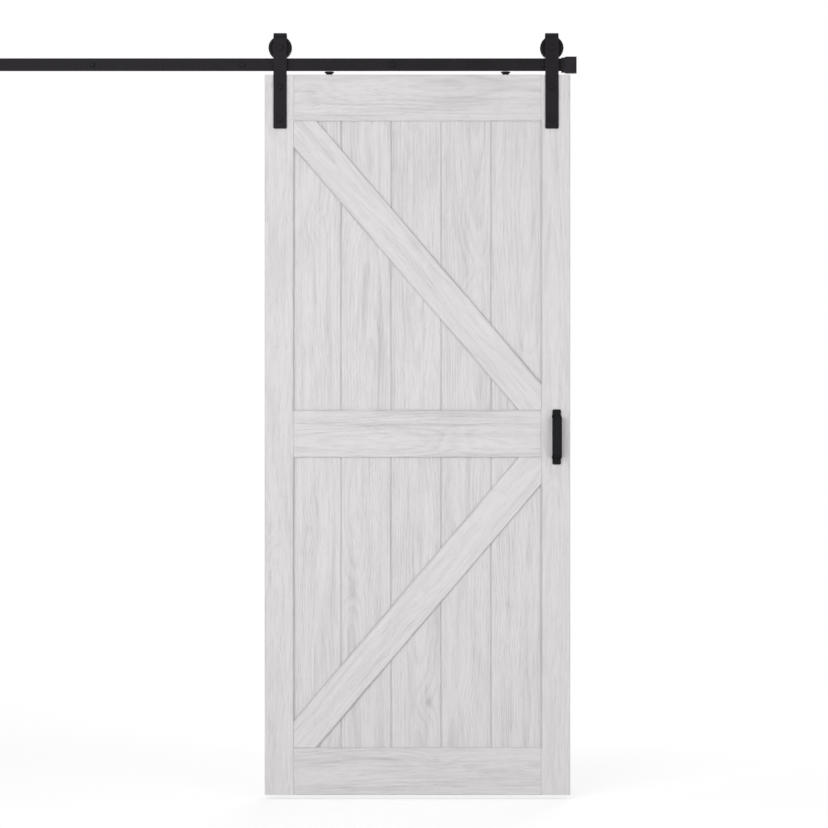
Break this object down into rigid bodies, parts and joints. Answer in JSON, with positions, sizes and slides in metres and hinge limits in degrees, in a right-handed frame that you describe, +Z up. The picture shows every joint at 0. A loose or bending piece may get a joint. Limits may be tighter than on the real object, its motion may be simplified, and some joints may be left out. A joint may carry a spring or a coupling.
{
  "type": "sliding barn door",
  "caption": "White-washed K-braced plank door that slides along a black flat wall rail on two strap hangers with grooved wheels, with end stops and a pull handle.",
  "frame": {"origin": "on the wall plane, on the axis of the middle wall bolt, at the rail's mid height", "axes": "+X along the rail to the right as seen from the room, +Y from the room into the wall, +Z up"},
  "size_m": [2, 0.141, 2.2808],
  "materials": {
    "white_wood": "matte white-washed grain",
    "black_steel": "matte black powder coat",
    "bright_steel": "ground steel",
    "black_rubber": "matte black rubber",
    "black_nylon": "turned black nylon",
    "beech": "plain beech"
  },
  "bodies": {
    "track": {"rail": "black_steel", "standoff_1": "black_steel", "standoff_2": "black_steel", "standoff_3": "black_steel", "standoff_4": "black_steel", "standoff_5": "black_steel", "wall_bolts": "black_steel", "wall_washers": "black_steel", "left_stop_block": "black_steel", "right_stop_block": "black_steel", "left_stop_bumper": "black_rubber", "right_stop_bumper": "black_rubber", "stop_set_screws": "black_steel"},
    "door": {"left_stile": "white_wood", "right_stile": "white_wood", "top_rail": "white_wood", "middle_rail": "white_wood", "bottom_rail": "white_wood", "frame_dowels": "beech", "upper_plank_1": "white_wood", "upper_plank_2": "white_wood", "upper_plank_3": "white_wood", "upper_plank_4": "white_wood", "upper_plank_5": "white_wood", "lower_plank_1": "white_wood", "lower_plank_2": "white_wood", "lower_plank_3": "white_wood", "lower_plank_4": "white_wood", "lower_plank_5": "white_wood", "upper_brace": "white_wood", "lower_brace": "white_wood", "pull_handle": "black_steel", "handle_screws": "black_steel", "left_hanger_strap": "black_steel", "right_hanger_strap": "black_steel", "strap_bolts": "black_steel", "strap_washers": "black_steel", "strap_nuts": "black_steel", "left_axle_bolt": "black_steel", "right_axle_bolt": "black_steel", "left_axle_nut": "black_steel", "right_axle_nut": "black_steel", "left_axle_bushes": "bright_steel", "right_axle_bushes": "bright_steel", "left_bearing_inner_ring": "bright_steel", "right_bearing_inner_ring": "bright_steel", "left_jump_guard": "black_steel", "right_jump_guard": "black_steel", "jump_guard_screws": "black_steel"},
    "left_roller": {"left_wheel": "black_nylon", "left_bearing_outer_ring": "bright_steel", "left_bearing_balls": "bright_steel", "left_retaining_ring": "bright_steel"},
    "right_roller": {"right_wheel": "black_nylon", "right_bearing_outer_ring": "bright_steel", "right_bearing_balls": "bright_steel", "right_retaining_ring": "bright_steel"}
  },
  "joints": [
    {"name": "door_slide", "type": "slide", "parent": "track", "child": "door", "axis": [-1, 0, 0], "range_m": [-0.0088, 1.0478]},
    {"name": "left_wheel_roll", "type": "hinge", "parent": "door", "child": "left_roller", "pos_m": [0.113, -0.041, 0.0498], "axis": [0, -1, 0], "continuous": true},
    {"name": "right_wheel_roll", "type": "hinge", "parent": "door", "child": "right_roller", "pos_m": [0.926, -0.041, 0.0498], "axis": [0, -1, 0], "continuous": true}
  ],
  "couplings": [
    {"joint": "left_wheel_roll", "follows": "door_slide", "rad_per_m": 32.787},
    {"joint": "right_wheel_roll", "follows": "door_slide", "rad_per_m": 32.787}
  ]
}
